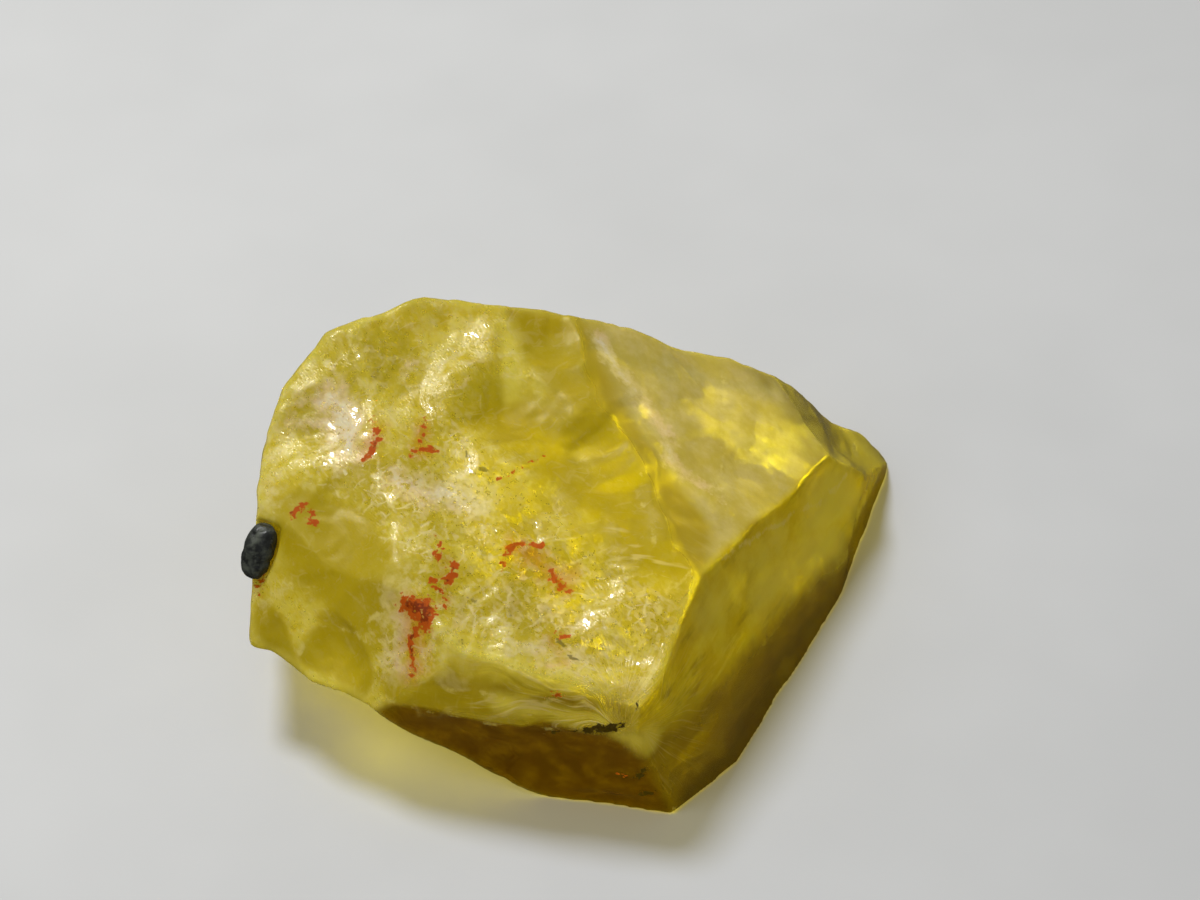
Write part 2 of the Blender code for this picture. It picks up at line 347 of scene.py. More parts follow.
HALO_MARKS = (
    (1.0, 0.55, ((-4.5, -5.0, 5.4), (-4.5, -6.0, 4.3))),
    (0.8, 0.40, ((-5.6, 0.2, 7.4), (-5.8, -0.6, 7.1))),
    (0.8, 0.40, ((-4.4, 0.3, 7.3), (-4.3, -0.5, 7.1))),
    (0.9, 0.60, ((-1.6, -3.2, 6.0), (-0.5, -3.9, 5.5))),
    (0.7, 0.45, ((-0.75, -5.7, 4.9), (-0.45, -6.3, 4.8))),
    (0.6, 0.50, ((-3.6, -3.6, 6.0), (-3.7, -4.8, 5.6))),
    (0.8, 0.30, ((-8.75, -1.8, 4.9), (-8.6, -2.3, 4.5))),
)
CRACK_MARKS = (
    (0.75, 0.12, ((-7.8, -3.3, 4.7), (-7.6, -3.8, 4.3), (-6.9, -4.25, 4.1), (-6.15, -4.65, 4.3),
                  (-5.45, -4.7, 5.1))),
    (0.75, 0.12, ((-7.5, -4.1, 3.9), (-7.65, -4.4, 3.5), (-7.65, -4.8, 2.9))),
    (0.8, 0.12, ((-6.2, -4.55, 4.5), (-5.8, -5.1, 4.2), (-5.5, -5.6, 3.8), (-5.6, -5.9, 3.3))),
    (0.7, 0.10, ((-5.6, -6.1, 3.2), (-3.8, -6.7, 3.1), (-2.7, -6.9, 3.05), (-1.6, -7.15, 3.15),
                 (-0.5, -7.4, 3.2))),
    (0.8, 0.12, ((4.0, 4.5, 5.6), (4.15, 3.7, 5.45), (4.0, 1.85, 5.4), (3.9, 0.35, 5.25))),
    (0.8, 0.06, ((-0.4, -3.1, 5.95), (0.55, -3.3, 5.65), (1.85, -3.87, 5.44))),
    (0.8, 0.05, ((-0.13, -3.25, 5.75), (0.82, -3.61, 5.5), (1.64, -4.14, 5.33))),
    (0.8, 0.05, ((0.28, -2.93, 5.86), (1.64, -3.34, 5.68), (2.4, -3.9, 5.4))),
    (0.8, 0.07, ((-1.47, -1.77, 6.46), (-1.84, -2.26, 6.35), (-2.14, -2.81, 6.23), (-2.4, -3.53, 5.94))),
    (0.8, 0.05, ((-2.13, -6.87, 3.94), (-1.32, -7.1, 3.87), (-0.52, -7.27, 3.65), (0.55, -7.5, 3.66))),
    (0.8, 0.05, ((-1.99, -7.02, 3.78), (-1.06, -7.2, 3.62), (-0.2, -7.35, 3.45))),
    (0.7, 0.12, ((-4.0, -6.35, 4.1), (-2.9, -6.6, 3.95), (-1.9, -6.95, 4.0), (-0.8, -7.1, 4.05),
                 (0.3, -7.3, 4.0))),
    (0.9, 0.16, ((1.5, -7.35, 4.2), (1.9, -6.4, 4.5), (2.3, -5.5, 4.8), (2.8, -4.6, 5.0))),
    (0.7, 0.12, ((1.3, -6.9, 4.4), (1.5, -5.9, 4.7), (1.9, -4.9, 5.1))),
    (0.8, 0.12, ((2.1, -4.9, 5.1), (2.5, -4.05, 5.3), (3.0, -3.5, 5.45))),
    (0.7, 0.12, ((1.65, -0.6, 6.5), (1.9, -2.1, 6.0), (2.05, -2.9, 5.8))),
    (0.8, 0.14, ((3.8, -2.6, 5.0), (5.0, -0.8, 4.25), (6.2, 1.1, 3.4), (7.1, 2.5, 2.7), (7.6, 3.4, 2.6))),
    (0.6, 0.10, ((1.95, -7.6, 1.6), (2.55, -7.4, 0.1))),
)

# %% Sugary grain, glints and dirt
# The break is sugary where it splinters into tiny grains, and some of those catch the light.
SUGAR_MARKS = (
    (1.0, 0.60, ((-7.1, -0.3, 7.0), (-6.9, -1.1, 6.7))),
    (1.0, 0.90, ((-4.9, -1.6, 6.7), (-3.8, -1.2, 6.8), (-3.2, -1.4, 6.7))),
    (0.8, 0.60, ((-4.1, 0.6, 7.4), (-3.4, -0.2, 7.1))),
    (1.0, 1.10, ((-4.6, -3.2, 6.2), (-4.6, -5.6, 4.8))),
    (1.0, 1.60, ((-2.6, -3.8, 5.7), (-1.0, -4.6, 5.3), (0.8, -5.2, 5.0))),
)
SPARK_MARKS = (
    (1.0, 0.45, ((-6.5, 0.8, 7.45), (-6.0, 0.1, 7.3))),
    (1.0, 0.40, ((-4.1, -1.4, 6.65), (-3.7, -1.8, 6.5))),
    (0.9, 0.35, ((-4.85, -5.35, 4.6), (-4.7, -5.95, 4.1))),
    (0.9, 0.30, ((-6.0, -5.1, 3.65),)),
    (0.8, 0.30, ((-1.4, 3.75, 7.95),)),
    (1.0, 0.28, ((1.35, 1.9, 6.95), (2.25, 1.9, 6.35), (2.55, 1.5, 6.2), (3.65, 1.3, 5.55))),
    (1.0, 0.28, ((3.8, -0.1, 5.25),)),
    (1.0, 0.25, ((1.7, -1.85, 6.0), (2.05, -2.85, 5.8))),
    (0.8, 0.40, ((-3.8, -6.7, 3.2), (-2.1, -7.05, 3.1), (-0.5, -7.4, 3.3))),
    (0.9, 0.60, ((0.5, -7.1, 4.45), (1.1, -6.0, 4.6), (1.1, -4.5, 5.3))),
    (0.8, 0.50, ((-1.6, -3.4, 5.9), (-0.4, -4.4, 5.4), (0.6, -5.0, 5.1))),
)
DIRT_MARKS = (
    (0.7, 0.05, ((-0.87, -7.24, 3.02), (-0.39, -7.37, 3.14), (0.15, -7.5, 3.32))),
    (1.0, 0.11, ((0.15, -7.5, 3.32), (0.69, -7.6, 3.54), (1.17, -7.61, 3.7))),
    (1.0, 0.15, ((1.6, -7.56, 1.66), (1.75, -7.56, 1.85))),
    (0.9, 0.14, ((1.75, -7.45, 0.88), (1.9, -7.4, 0.9))),
    (0.7, 0.07, ((1.41, -7.54, 3.97), (1.62, -7.27, 4.27))),
)
FLECK_MARKS = (
    (0.8, 0.06, ((-3.08, -0.45, 6.97), (-2.92, -0.55, 6.93))),
    (0.8, 0.07, ((-2.68, -0.95, 6.87), (-2.5, -1.05, 6.83))),
    (0.7, 0.05, ((-2.25, 0.15, 7.0), (-2.15, 0.05, 7.0))),
    (0.8, 0.06, ((-1.5, -1.15, 6.62), (-1.3, -1.28, 6.58))),
    (0.8, 0.08, ((-0.6, -5.6, 4.92), (-0.35, -5.75, 4.88))),
    (0.8, 0.07, ((-0.2, -6.05, 4.82), (0.0, -6.15, 4.78))),
    (0.7, 0.06, ((0.3, -5.55, 4.9), (0.3, -5.7, 4.88))),
    (0.8, 0.07, ((-3.05, -4.5, 5.45), (-2.85, -4.7, 5.38))),
    (0.8, 0.07, ((-3.4, -5.85, 5.22), (-3.15, -5.95, 5.18))),
    (0.7, 0.06, ((-1.2, -4.3, 5.5), (-0.95, -4.35, 5.45))),
    (0.7, 0.07, ((-2.0, -4.75, 5.35), (-1.9, -5.0, 5.3))),
    (0.7, 0.06, ((-5.4, 2.3, 8.0), (-5.3, 2.1, 7.95))),
    (0.7, 0.05, ((-7.6, -0.6, 6.7), (-7.5, -0.7, 6.7))),
)

# %% Painted shade and painted glow
# The foot shade is painted shade, a dark brown along the foot, and glow is painted light, a bright yellow
# laid where light gathers behind an edge.
PAINTED_FOOT_SHADE_MARKS = (
    (1.0, 1.00, ((3.2, -6.6, 0.4), (7.6, 1.6, 0.4))),
    (0.7, 0.60, ((8.2, 2.6, 1.0), (8.4, 3.2, 2.4))),
)
PAINTED_GLOW_MARKS = (
    (1.0, 0.95, ((7.4, 2.8, 2.4), (6.7, 1.8, 2.9))),
    (0.9, 0.40, ((1.3, -7.65, 3.4), (2.0, -7.5, 2.9))),
    (0.8, 0.42, ((-2.1, 3.5, 8.0), (-1.95, 2.4, 7.6), (-1.8, 1.6, 7.3))),
    (0.5, 0.60, ((5.6, 2.6, 4.3), (6.8, 2.9, 3.4))),
    (0.8, 0.34, ((-2.2, -6.9, 3.9), (-1.1, -7.15, 3.8), (0.5, -7.5, 3.7))),
    (0.7, 0.65, ((-3.4, -5.9, 5.0), (-2.1, -6.4, 4.85), (-0.8, -6.7, 4.7), (0.5, -6.7, 4.6),
                 (1.3, -5.9, 4.7))),
    (0.8, 0.85, ((5.0, -1.95, 2.9), (6.2, 0.2, 2.3), (7.3, 1.9, 1.6))),
    (0.6, 1.10, ((5.6, -0.4, 3.6), (4.2, -2.9, 4.2), (3.4, -4.2, 4.4))),
)

# %% Paint the marks
marks = {
    "window": paint(WINDOW_MARKS),
    "veil": paint(VEIL_MARKS),
    "rust": paint(RUST_MARKS),
    "halo": paint(HALO_MARKS),
    "dirt": paint(DIRT_MARKS),
    "fleck": paint(FLECK_MARKS),
    "painted_foot_shade": paint(PAINTED_FOOT_SHADE_MARKS),
    "glow": paint(PAINTED_GLOW_MARKS),
    "crack": paint(CRACK_MARKS),
    "spark": paint(SPARK_MARKS),
    "sugar": paint(SUGAR_MARKS),
}

# The sides away from the camera have no marks of their own, so noise places theirs.
unpainted = 1.0 - ramp(normals @ direction(-90.0, 44.0), -0.05, 0.2)
marks["window"] = np.maximum(marks["window"], unpainted * ramp(noise_values(points, 2.4, 4.0), 0.05, 0.45))
marks["sugar"] = np.maximum(marks["sugar"], unpainted * ramp(noise_values(points, 1.9, 8.0), -0.15, 0.25))
for name, field in marks.items():
    print(f"{name}: {(field > 0.5).mean():.4f} of the surface")

# %% [markdown]
# ## The way a crystal breaks
# A blow at one point on the rim split this stone. From such a point a break spreads in
# shallow arcs, like ripples, and close to it fine ridges fan out. Both are kept as
# coordinates around the point, for the relief and for the material.

# %% Break
HALF_SMOOTH = 0.7
STRIKE_POINT = np.array((1.2, -7.6, 3.8))
FAN_TURNS = 16.0
FAN_REACH = 0.8
ARC_SPACING = 0.6
WINDOW_EDGE = (0.35, 0.6)


def bell(distances, middle, width):
    """1 at one distance, fading to both sides of it."""
    return np.exp(-(((distances - middle) / width) ** 2))


faces["front"] = faces["front"] * (1.0 - ramp(paint((BEVEL_WINDOW,)), *WINDOW_EDGE))
smooth = on_any("front", "prism_right", "prism_front", "right_end", "base")
half_smooth = np.max([faces[name] for name in ("top_right", "front_bevel", "back_right")], axis=0)
broken = (1.0 - smooth) * (1.0 - HALF_SMOOTH * half_smooth)
window = ramp(marks["window"], *WINDOW_EDGE)

away = points + 0.25 * noise_vectors(points, 1.1, 3.0) - STRIKE_POINT
reach = np.linalg.norm(away, axis=1)
side_turn = math.radians(SMOOTH_FACES["prism_right"][0] + 90.0)
sideways = away @ np.array((math.cos(side_turn), math.sin(side_turn), 0.0))
on_side = np.max([faces[name] for name in ("prism_right", "prism_front")], axis=0)
fan_turn = np.where(on_side > 0.5, np.arctan2(away[:, 2], sideways), np.arctan2(away[:, 1], away[:, 0]))
upward = ramp(normals[:, 2], 0.1, 0.4)
rays = 0.35 * bell(reach, 1.4, 1.6) * upward
rays = np.maximum(rays, faces["front_bevel"] * bell(reach, 0.0, 6.0))
rays = np.maximum(rays, 0.4 * on_side * bell(reach, 0.0, 2.6))
arcs = bell(reach, 4.7, 1.5) * broken * upward
print("reach of the break:", reach.min().round(2), "to", reach.max().round(2), "mm")


# %% [markdown]
# ## Relief
# The break is made of flat chips in two sizes, each tilted its own way, as broken glass has
# them. A Voronoi pattern gives every chip a centre, and noise at that centre its tilt.

# %% Relief
LARGE_CHIP = 1.15
LARGE_RISE = 0.030
SMALL_CHIP = 0.42
SMALL_RISE = 0.016
FINE_GRAIN = 0.2
FINE_RISE = 0.008
RAY_RISE = 0.030
ARC_RISE = 0.014
SMOOTH_RISE = 0.004
CHIP_EDGE = 0.15


def chip_height(point, size, shift):
    """Height of small flat chips, each tilted its own way."""
    place = point / size + shift
    distances, centres = noise.voronoi(place)
    heights = []
    for centre in centres[:2]:
        tilt = noise.noise_vector(centre * 7.31)
        step = noise.noise(centre * 3.17)
        heights.append((place - centre).dot(tilt) + 0.6 * step)
    share = min(1.0, (distances[1] - distances[0]) / CHIP_EDGE)
    return heights[0] * (0.5 + 0.5 * share) + heights[1] * (0.5 - 0.5 * share)


def relief(point, openness):
    """Height of the broken surface in millimetres; windows stay calm."""
    warped = point + 0.35 * noise.noise_vector(point / 1.3)
    large = LARGE_RISE * chip_height(warped, LARGE_CHIP, Vector((3.0, 1.0, 7.0)))
    small = SMALL_RISE * chip_height(warped, SMALL_CHIP, Vector((1.0, 5.0, 2.0)))
    fine = FINE_RISE * noise.noise(point / FINE_GRAIN)
    return (1.0 - 0.5 * openness) * large + (1.0 - 0.85 * openness) * (small + fine)


fan_places = np.stack([fan_turn * FAN_TURNS, reach * FAN_REACH, np.zeros(len(reach))], axis=1)
heights = np.array([relief(Vector(point), openness) for point, openness in zip(points, window)])
ray_heights = np.array([noise.noise(Vector(place)) for place in fan_places])
arc_heights = np.sin(math.tau * reach / ARC_SPACING + 2.0 * noise_values(points, 1.5, 9.0))
heights = heights * broken + RAY_RISE * rays * ray_heights + ARC_RISE * arcs * arc_heights
heights += SMOOTH_RISE * smooth * noise_values(points, 0.8)
moved = points + normals * heights[:, None]
moved[:, 2] = np.maximum(moved[:, 2], 0.0)
crystal.data.vertices.foreach_set("co", moved.astype(np.float32).ravel())
crystal.data.update()
print("relief", heights.min().round(3), "to", heights.max().round(3), "mm")


# %% [markdown]
# ## Edges
# Where two chips meet in a ridge, the rim is thin and would let light through, so it is painted paler: a
# painted highlight.
# A point stands out when its neighbours lie below the plane of its own normal.

# %% Edges
EDGE_BLUR = 24


def edge_sharpness(mesh, rounds):
    """How far each point stands out of its neighbours, spread over a few rounds."""
    places = read_vectors(mesh, "co")
    outward = read_vectors(mesh, "normal")
    step = places[second_end] - places[first_end]
    drop = (step * outward[first_end]).sum(axis=1)
    rise = -(step * outward[second_end]).sum(axis=1)
    total = -np.bincount(first_end, drop, len(places)) - np.bincount(second_end, rise, len(places))
    return spread(total / edge_count, rounds)


sharpness = edge_sharpness(crystal.data, EDGE_BLUR)
edge = ramp(sharpness, 0.001, 0.004)
print(f"edges: {(edge > 0.5).mean():.3f} of the surface")


# %% [markdown]
# ## Store the marks
# A material can read a value that is stored on the mesh under a name. So all the fields
# above become named attributes, and the materials below ask for them by those names.


# %% Store the marks
def store(mesh, name, values):
    """Keep one number per vertex under a name that a material can read."""
    attribute = mesh.attributes.new(name, "FLOAT", "POINT")
    attribute.data.foreach_set("value", np.clip(values, 0.0, 1.0).astype(np.float32))


def store_vectors(mesh, name, values):
    """Keep one vector per vertex, for a pattern that follows its own coordinates."""
    attribute = mesh.attributes.new(name, "FLOAT_VECTOR", "POINT")
    attribute.data.foreach_set("vector", values.astype(np.float32).ravel())


# The painted shade at the foot is lowest at the right end and rises towards the front.
SHADE_HEIGHT = 1.6
SHADE_RISE = 0.5
SHADE_START = 7.5
LEAST_SHADE = 0.8

shade_height = (SHADE_HEIGHT + SHADE_RISE * (SHADE_START - points[:, 0])).clip(LEAST_SHADE)
fields = {
    **marks,
    "broken": broken,
    "prism": on_any("prism_right", "prism_front", "right_end", "front"),
    "front": faces["front"],
    # The low field is painted shade: darker towards the foot.
    "low": 1.0 - points[:, 2] / shade_height,
    "milky": faces["top_right"],
    "back_face_shade": faces["back_right"],
    "edge": edge * broken,
    "rays": rays,
    "arcs": arcs,
}
for name, field in fields.items():
    store(crystal.data, name, field)
store_vectors(crystal.data, "fan", fan_places)
rescale(crystal, MM)
print("crystal skin:", count_triangles(crystal), "triangles")

# %% [markdown]
# ## The black grain
# The grain is a worn, matte black mineral that sits in a pocket in the crystal's side. A
# finer skin lets it carry the shallow lengthwise grooves that such grains have.

# %% Grain
GRAIN_VOXEL = 0.030
GRAIN_AXIS = np.array((-0.30, -0.34, -0.89))
GROOVE = 0.010
GROOVE_SPACING = 0.16
PITS = 0.045
PIT_SPACING = 0.22
ROUNDING = 0.8
GRAIN_ROUNDS = 14

grain = fine_skin("black_grain", "grain_skin", GRAIN_VOXEL, GRAIN_ROUNDS)
grain_points = read_vectors(grain.data, "co")
grain_normals = read_vectors(grain.data, "normal")
across = grain_points - (grain_points @ GRAIN_AXIS)[:, None] * GRAIN_AXIS
grooves = noise_values(across, GROOVE_SPACING, 2.0)
pits = np.minimum(noise_values(grain_points, PIT_SPACING, 6.0) - 0.1, 0.0)

# A worn grain has no corners, so what stands outside the ball around it is drawn in.
from_middle = grain_points - 0.5 * (grain_points.min(axis=0) + grain_points.max(axis=0))
_, grain_axes = np.linalg.eigh(np.cov(from_middle.T))
along_axes = from_middle @ grain_axes
how_far = np.linalg.norm(along_axes / np.abs(along_axes).max(axis=0), axis=1).clip(1.0)
grain_points = grain_points - ROUNDING * from_middle * (1.0 - 1.0 / how_far)[:, None]
grain_moved = grain_points + grain_normals * (GROOVE * grooves + PITS * pits)[:, None]
grain.data.vertices.foreach_set("co", grain_moved.astype(np.float32).ravel())
grain.data.update()
rescale(grain, MM)
print("grain skin:", count_triangles(grain), "triangles")

# %% [markdown]
# ## Wiring made short
# Materials are made of nodes. A small helper adds nodes and wires to one tree, so that each
# pattern below reads as a few lines.


# %% Wires
class Wires:
    """One node tree, with short words for the nodes that the patterns use."""

    def __init__(self, tree):
        self.tree = tree

    def feed(self, value, socket):
        """Give a socket a wire, a colour or a number."""
        if isinstance(value, bpy.types.NodeSocket):
            self.tree.links.new(value, socket)
        elif socket.type == "RGBA":
            socket.default_value = (*value, 1.0)
        else:
            socket.default_value = value

    def node(self, kind, inputs, **settings):
        """A node with its settings, each input given a wire or a value."""
        made = self.tree.nodes.new(kind)
        for name, value in settings.items():
            setattr(made, name, value)
        for name, value in inputs.items():
            self.feed(value, made.inputs[name])
        return made

    def math(self, operation, first, second=0.0):
        """One step of arithmetic with two numbers."""
        return self.node("ShaderNodeMath", {0: first, 1: second}, operation=operation).outputs[0]

    def part(self, mask, share):
        """A mask made weaker by a number or by another mask."""
        return self.math("MULTIPLY", mask, share)

    def rest(self, mask):
        """What a mask leaves free."""
        return self.math("SUBTRACT", 1.0, mask)

    def most(self, first, second):
        """The stronger of two masks."""
        return self.math("MAXIMUM", first, second)

    def vector(self, operation, first, second, output="Vector"):
        """One step of arithmetic with two vectors."""
        return self.node("ShaderNodeVectorMath", {0: first, 1: second}, operation=operation).outputs[output]

    def scaled(self, vector, factor):
        """A vector made longer or shorter."""
        inputs = {0: vector, "Scale": factor}
        return self.node("ShaderNodeVectorMath", inputs, operation="SCALE").outputs["Vector"]

    def squeezed(self, place, line, share):
        """Places pressed together along a line, so that a pattern runs long that way."""
        along = self.vector("DOT_PRODUCT", place, line, "Value")
        return self.vector("SUBTRACT", place, self.scaled(line, self.math("MULTIPLY", along, share)))

    def ramp(self, value, low, high):
        """0 below low, 1 above high and smooth between."""
        inputs = {"Value": value, "From Min": low, "From Max": high}
        return self.node("ShaderNodeMapRange", inputs, interpolation_type="SMOOTHSTEP").outputs["Result"]

    def mix(self, share, first, second):
        """One colour laid over another."""
        return self.node("ShaderNodeMix", {0: share, 6: first, 7: second}, data_type="RGBA").outputs[2]

    def lay(self, under, mask, share, over):
        """A colour laid over another where the mask shows, at a share of its strength."""
        return self.mix(self.part(mask, share), under, over)

    def blend(self, share, first, second):
        """A number between two numbers."""
        return self.node("ShaderNodeMix", {0: share, 2: first, 3: second}, data_type="FLOAT").outputs[0]

    def noise(self, place, scale, detail=3.0, roughness=0.55, output="Fac"):
        """Cloudy noise."""
        inputs = {"Vector": place, "Scale": scale, "Detail": detail, "Roughness": roughness}
        return self.node("ShaderNodeTexNoise", inputs).outputs[output]

    def place(self):
        """Where a point is on the piece, in millimetres."""
        here = self.node("ShaderNodeTexCoord", {}).outputs["Object"]
        return self.scaled(here, 1.0 / MM)

    def mark(self, name, output="Fac"):
        """A mark stored on the mesh."""
        return self.node("ShaderNodeAttribute", {}, attribute_name=name).outputs[output]

    def effect(self, group, inputs, output):
        """A shared effect with its own values."""
        return self.node("ShaderNodeGroup", inputs, node_tree=group).outputs[output]


def new_group(name, inputs, outputs):
    """An empty effect with named sockets: its wires, its inputs and its output node."""
    group = bpy.data.node_groups.new(name, "ShaderNodeTree")
    for title, default in inputs.items():
        kind = "NodeSocketVector" if isinstance(default, tuple) else "NodeSocketFloat"
        socket = group.interface.new_socket(title, in_out="INPUT", socket_type=kind)
        socket.default_value = default
    for title in outputs:
        group.interface.new_socket(title, in_out="OUTPUT", socket_type="NodeSocketFloat")
    wires = Wires(group)
    given = group.nodes.new("NodeGroupInput").outputs
    result = group.nodes.new("NodeGroupOutput").inputs
    return group, wires, given, result


# %% [markdown]
# ## Shared effects
# Five small effects serve the finishes here: soft clouds, angular cracks, dark flecks, flat
# tilted chips, and a ragged edge for the painted marks. Each is a node group that is built
# once. Noise is the slow part of a material, so cracks and ragged marks take theirs from
# outside, and a few noises serve many marks.

# %% Effect: clouds
cloud_inputs = {"Scale": 1.0, "Detail": 4.0, "Low": 0.4, "High": 0.6}
cloud, wires, given, result = new_group("cloud", cloud_inputs, ["Mask"])
billows = wires.noise(wires.place(), given["Scale"], given["Detail"], 0.62)
wires.feed(wires.ramp(billows, given["Low"], given["High"]), result["Mask"])
print("effect:", cloud.name)

# %% Effect: angular cracks
crack_inputs = {"Place": (0.0, 0.0, 0.0), "Patches": 0.5, "Scale": 1.0, "Width": 0.03, "Breaks": 0.5}
cracks, wires, given, result = new_group("cracks", crack_inputs, ["Mask"])
here = wires.scaled(given["Place"], given["Scale"])
cells = wires.node("ShaderNodeTexVoronoi", {"Vector": here, "Scale": 1.0}, feature="DISTANCE_TO_EDGE")
line = wires.rest(wires.ramp(cells.outputs["Distance"], 0.0, given["Width"]))
kept = wires.ramp(given["Patches"], given["Breaks"], wires.math("ADD", given["Breaks"], 0.08))
wires.feed(wires.part(line, kept), result["Mask"])
print("effect:", cracks.name)

# %% Effect: flecks
flecks, wires, given, result = new_group("flecks", {"Scale": 1.0, "Share": 0.3}, ["Mask"])
stretch = {"Vector": wires.place(), "Rotation": (0.4, 0.2, 0.9), "Scale": (1.0, 2.6, 1.6)}
stretched = wires.node("ShaderNodeMapping", stretch).outputs["Vector"]
spots = wires.noise(stretched, given["Scale"], 2.0, 0.5)
threshold = wires.math("SUBTRACT", 0.78, wires.part(given["Share"], 0.3))
wires.feed(wires.ramp(spots, threshold, wires.math("ADD", threshold, 0.05)), result["Mask"])
print("effect:", flecks.name)

# %% Effect: chips
chip_inputs = {"Place": (0.0, 0.0, 0.0), "Size": 0.3, "Tilt": 0.3}
chips, wires, given, result = new_group("chips", chip_inputs, ["Height", "Shine"])
here = wires.scaled(given["Place"], wires.math("DIVIDE", 1.0, given["Size"]))
cells = wires.node("ShaderNodeTexVoronoi", {"Vector": here, "Scale": 1.0}, feature="F1")
inside = wires.vector("SUBTRACT", here, cells.outputs["Position"])
lean = wires.vector("SUBTRACT", cells.outputs["Color"], (0.5, 0.5, 0.5))
slope = wires.vector("DOT_PRODUCT", inside, lean, "Value")
to_border = wires.rest(wires.ramp(cells.outputs["Distance"], 0.2, 0.6))
tall = wires.part(to_border, wires.part(given["Tilt"], given["Size"]))
wires.feed(wires.part(slope, tall), result["Height"])

# Every cell has a random colour of its own, and folding it makes a second random number.
folded = wires.vector("DOT_PRODUCT", cells.outputs["Color"], (7.31, 3.17, 5.23), "Value")
wires.feed(wires.math("FRACT", folded), result["Shine"])
print("effect:", chips.name)

# %% Effect: ragged marks
ragged_inputs = {"Field": 0.0, "Shake": 0.5, "Roughness": 0.3, "Low": 0.45, "High": 0.55}
ragged, wires, given, result = new_group("ragged", ragged_inputs, ["Mask"])
shake = wires.part(wires.math("SUBTRACT", given["Shake"], 0.5), given["Roughness"])
cut = wires.ramp(wires.math("ADD", given["Field"], shake), given["Low"], given["High"])
present = wires.ramp(given["Field"], 0.02, 0.2)
wires.feed(wires.part(cut, present), result["Mask"])
print("effect:", ragged.name)


def ragged_mark(name, shake, roughness, low, high):
    """A painted mark of the crystal, its edge torn by a noise."""
    field = wires.mark(name)
    inputs = {"Field": field, "Shake": shake, "Roughness": roughness, "Low": low, "High": high}
    return wires.effect(ragged, inputs, "Mask")


# %% [markdown]
# ## The crystal's material
# Yellow, fractured crystal lets most light in, so two thirds of the surface is clear glass
# with an absorbing inside. The rest is colour, a third of it a soft glow from just below the
# surface, for the light that hidden cracks send back. The colours are laid on in order:
# body, faces, veils, sugar and lines, the fan, and last the stains.

# %% Crystal colours
DEEP = (0.40, 0.31, 0.004)
OLIVE = (0.55, 0.45, 0.02)
BODY = (0.71, 0.58, 0.035)
LEMON = (0.87, 0.79, 0.17)
# Painted light: the next colour is a glow laid where light gathers behind an edge.
PAINTED_GLOW_YELLOW = (0.94, 0.84, 0.13)
CREAM = (0.94, 0.83, 0.42)
PINK_CREAM = (0.93, 0.74, 0.46)
NODULE = (0.97, 0.90, 0.72)
WINDOW = (0.46, 0.36, 0.003)
PRISM = (0.74, 0.58, 0.003)
PRISM_MILK = (0.84, 0.72, 0.02)
PRISM_LIGHT = (0.90, 0.78, 0.05)
PRISM_DARK = (0.48, 0.36, 0.003)
# Painted shade: the next two colours darken the crystal towards its foot.
PRISM_PAINTED_SHADE = (0.20, 0.12, 0.002)
PAINTED_FOOT_SHADE = (0.12, 0.075, 0.02)
# Painted shade: the front face is dark brown, with lighter patches at random.
FRONT_PAINTED_SHADE = (0.11, 0.045, 0.0005)
FRONT_LIGHT = (0.50, 0.27, 0.002)
MILKY = (0.64, 0.55, 0.13)
MILKY_CREAM = (0.76, 0.68, 0.30)
# Painted shade: the back right face is darkened to grey-green.
BACK_FACE_SHADE = (0.16, 0.15, 0.05)
FLECK = (0.10, 0.09, 0.02)
RUST_RED = (0.20, 0.012, 0.001)
RUST_ORANGE = (0.56, 0.065, 0.002)
GRIME = (0.02, 0.014, 0.004)


def new_material(name):
    """A material with its Principled shader, and short words for its wires."""
    material = bpy.data.materials.new(name)
    material.use_nodes = True
    return material, Wires(material.node_tree), material.node_tree.nodes["Principled BSDF"]


stone, wires, shader = new_material("rhodizite")
stone_output = stone.node_tree.nodes["Material Output"].inputs
here = wires.place()
coarse = wires.noise(here, 1.0, 4.0, 0.62)
medium = wires.noise(here, 2.4, 4.0, 0.65)
sugar = wires.noise(here, 6.0, 2.0, 0.55)
broken_mark = wires.mark("broken")
window_mask = ragged_mark("window", coarse, 0.45, 0.32, 0.62)
not_window = wires.rest(window_mask)
broad = wires.noise(here, 0.55, 3.0, 0.62)
clouds = wires.ramp(broad, 0.36, 0.62)
patches = wires.ramp(wires.math("ADD", broad, wires.math("SUBTRACT", medium, 0.5)), 0.48, 0.70)
color = wires.mix(clouds, OLIVE, BODY)
color = wires.lay(color, patches, 0.55, LEMON)
milk = wires.mix(wires.ramp(coarse, 0.36, 0.68), MILKY, MILKY_CREAM)
color = wires.lay(color, wires.mark("milky"), 0.85, milk)
color = wires.lay(color, window_mask, 0.85, WINDOW)
print("body colours laid on")

# %% Crystal faces
GROWTH_LINE = (0.47, 0.88, 0.0)
GROWTH_SQUEEZE = 0.75

squeezed_place = wires.squeezed(here, GROWTH_LINE, GROWTH_SQUEEZE)
growth = wires.noise(squeezed_place, 1.6, 4.0, 0.62)
prism_color = wires.mix(wires.ramp(coarse, 0.40, 0.62), PRISM, PRISM_MILK)
prism_color = wires.mix(wires.ramp(growth, 0.52, 0.72), prism_color, PRISM_DARK)
prism_color = wires.mix(wires.ramp(growth, 0.48, 0.34), prism_color, PRISM_LIGHT)
# Painted shade: the crystal faces darken towards the foot.
low = ragged_mark("low", coarse, 0.35, 0.12, 0.42)
prism_color = wires.lay(prism_color, low, 0.85, PRISM_PAINTED_SHADE)
color = wires.mix(wires.mark("prism"), color, prism_color)
